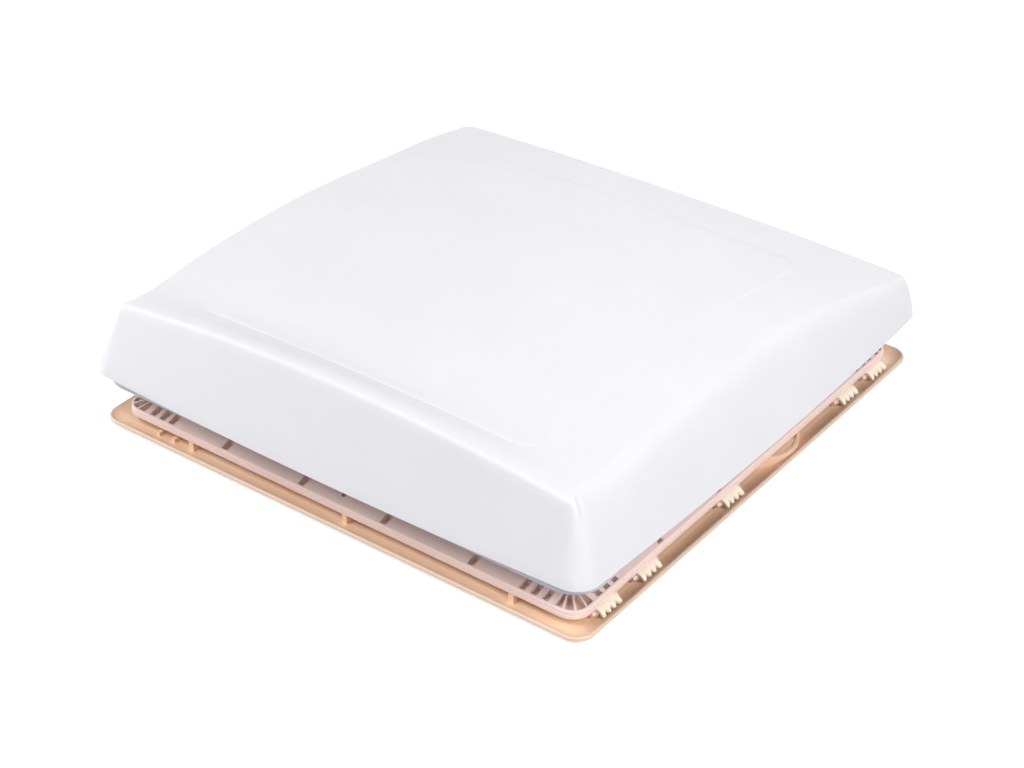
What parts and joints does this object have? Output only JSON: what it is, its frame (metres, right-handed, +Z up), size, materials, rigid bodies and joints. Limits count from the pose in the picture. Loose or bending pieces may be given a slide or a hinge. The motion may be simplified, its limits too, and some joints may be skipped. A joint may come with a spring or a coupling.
{
  "type": "caravan roof vent",
  "caption": "Square roof vent with a milky domed lid, roof frame and ceiling trim frame; the lid hinges up on a stay bow behind turn latches, over a hinged fly screen.",
  "frame": {"origin": "middle of the trim frame's underside", "axes": "+Z up through the roof, -Y the lid's front lip, +Y the hinge side"},
  "size_m": [0.508, 0.51, 0.1345],
  "materials": {
    "frame_pink": "satin moulded",
    "trim_tan": "satin moulded",
    "clip_cream": "satin moulded",
    "lid_milky": "milky translucent gloss",
    "lid_inner": "milky translucent gloss",
    "lid_fitting": "satin moulded",
    "bond_strip": "matte",
    "seal_rubber": "matte",
    "steel": "zinc plated",
    "screen_cream": "satin moulded",
    "mesh_grey": "woven"
  },
  "bodies": {
    "frame": {"roof_frame": "frame_pink", "trim_frame": "trim_tan", "trim_clips": "clip_cream", "clip_pins": "frame_pink", "frame_screws": "steel", "lid_seal": "seal_rubber", "hinge_brackets": "frame_pink", "bracket_screws": "steel", "hinge_pins": "steel", "bow_sockets": "frame_pink", "latch_keepers": "frame_pink"},
    "lid": {"lid_dome": "lid_milky", "lid_pan": "lid_inner", "lid_bond": "bond_strip", "hinge_leaves": "lid_fitting", "leaf_screws": "steel", "bow_catches": "lid_fitting", "latch_mounts": "lid_fitting"},
    "bow": {"stay_bow": "steel", "bow_grip": "frame_pink"},
    "left_latch": {"latch_left": "frame_pink", "handle_left": "frame_pink"},
    "right_latch": {"latch_right": "frame_pink", "handle_right": "frame_pink"},
    "screen": {"screen_frame": "screen_cream", "screen_mesh": "mesh_grey", "screen_spline": "seal_rubber", "screen_pins": "steel"},
    "catch": {"screen_catch": "screen_cream"}
  },
  "joints": [
    {"name": "lid_hinge", "type": "hinge", "parent": "frame", "child": "lid", "pos_m": [0, 0.23, 0.0425], "axis": [-1, 0, 0], "range_deg": [0, 50]},
    {"name": "bow_pivot", "type": "hinge", "parent": "frame", "child": "bow", "pos_m": [0, 0.12, 0.0355], "axis": [-1, 0, 0], "range_deg": [0, 86]},
    {"name": "left_latch_turn", "type": "hinge", "parent": "lid", "child": "left_latch", "pos_m": [-0.11, -0.1825, 0.0395], "axis": [0, -1, 0], "range_deg": [0, 90]},
    {"name": "right_latch_turn", "type": "hinge", "parent": "lid", "child": "right_latch", "pos_m": [0.11, -0.1825, 0.0395], "axis": [0, 1, 0], "range_deg": [0, 90]},
    {"name": "screen_hinge", "type": "hinge", "parent": "frame", "child": "screen", "pos_m": [0, 0.176, 0.005], "axis": [1, 0, 0], "range_deg": [0, 80]},
    {"name": "catch_slide", "type": "slide", "parent": "screen", "child": "catch", "axis": [0, -1, 0], "range_m": [0, 0.004]}
  ],
  "couplings": [
    {"joint": "bow_pivot", "follows": "lid_hinge", "ratio": 1.6855}
  ]
}
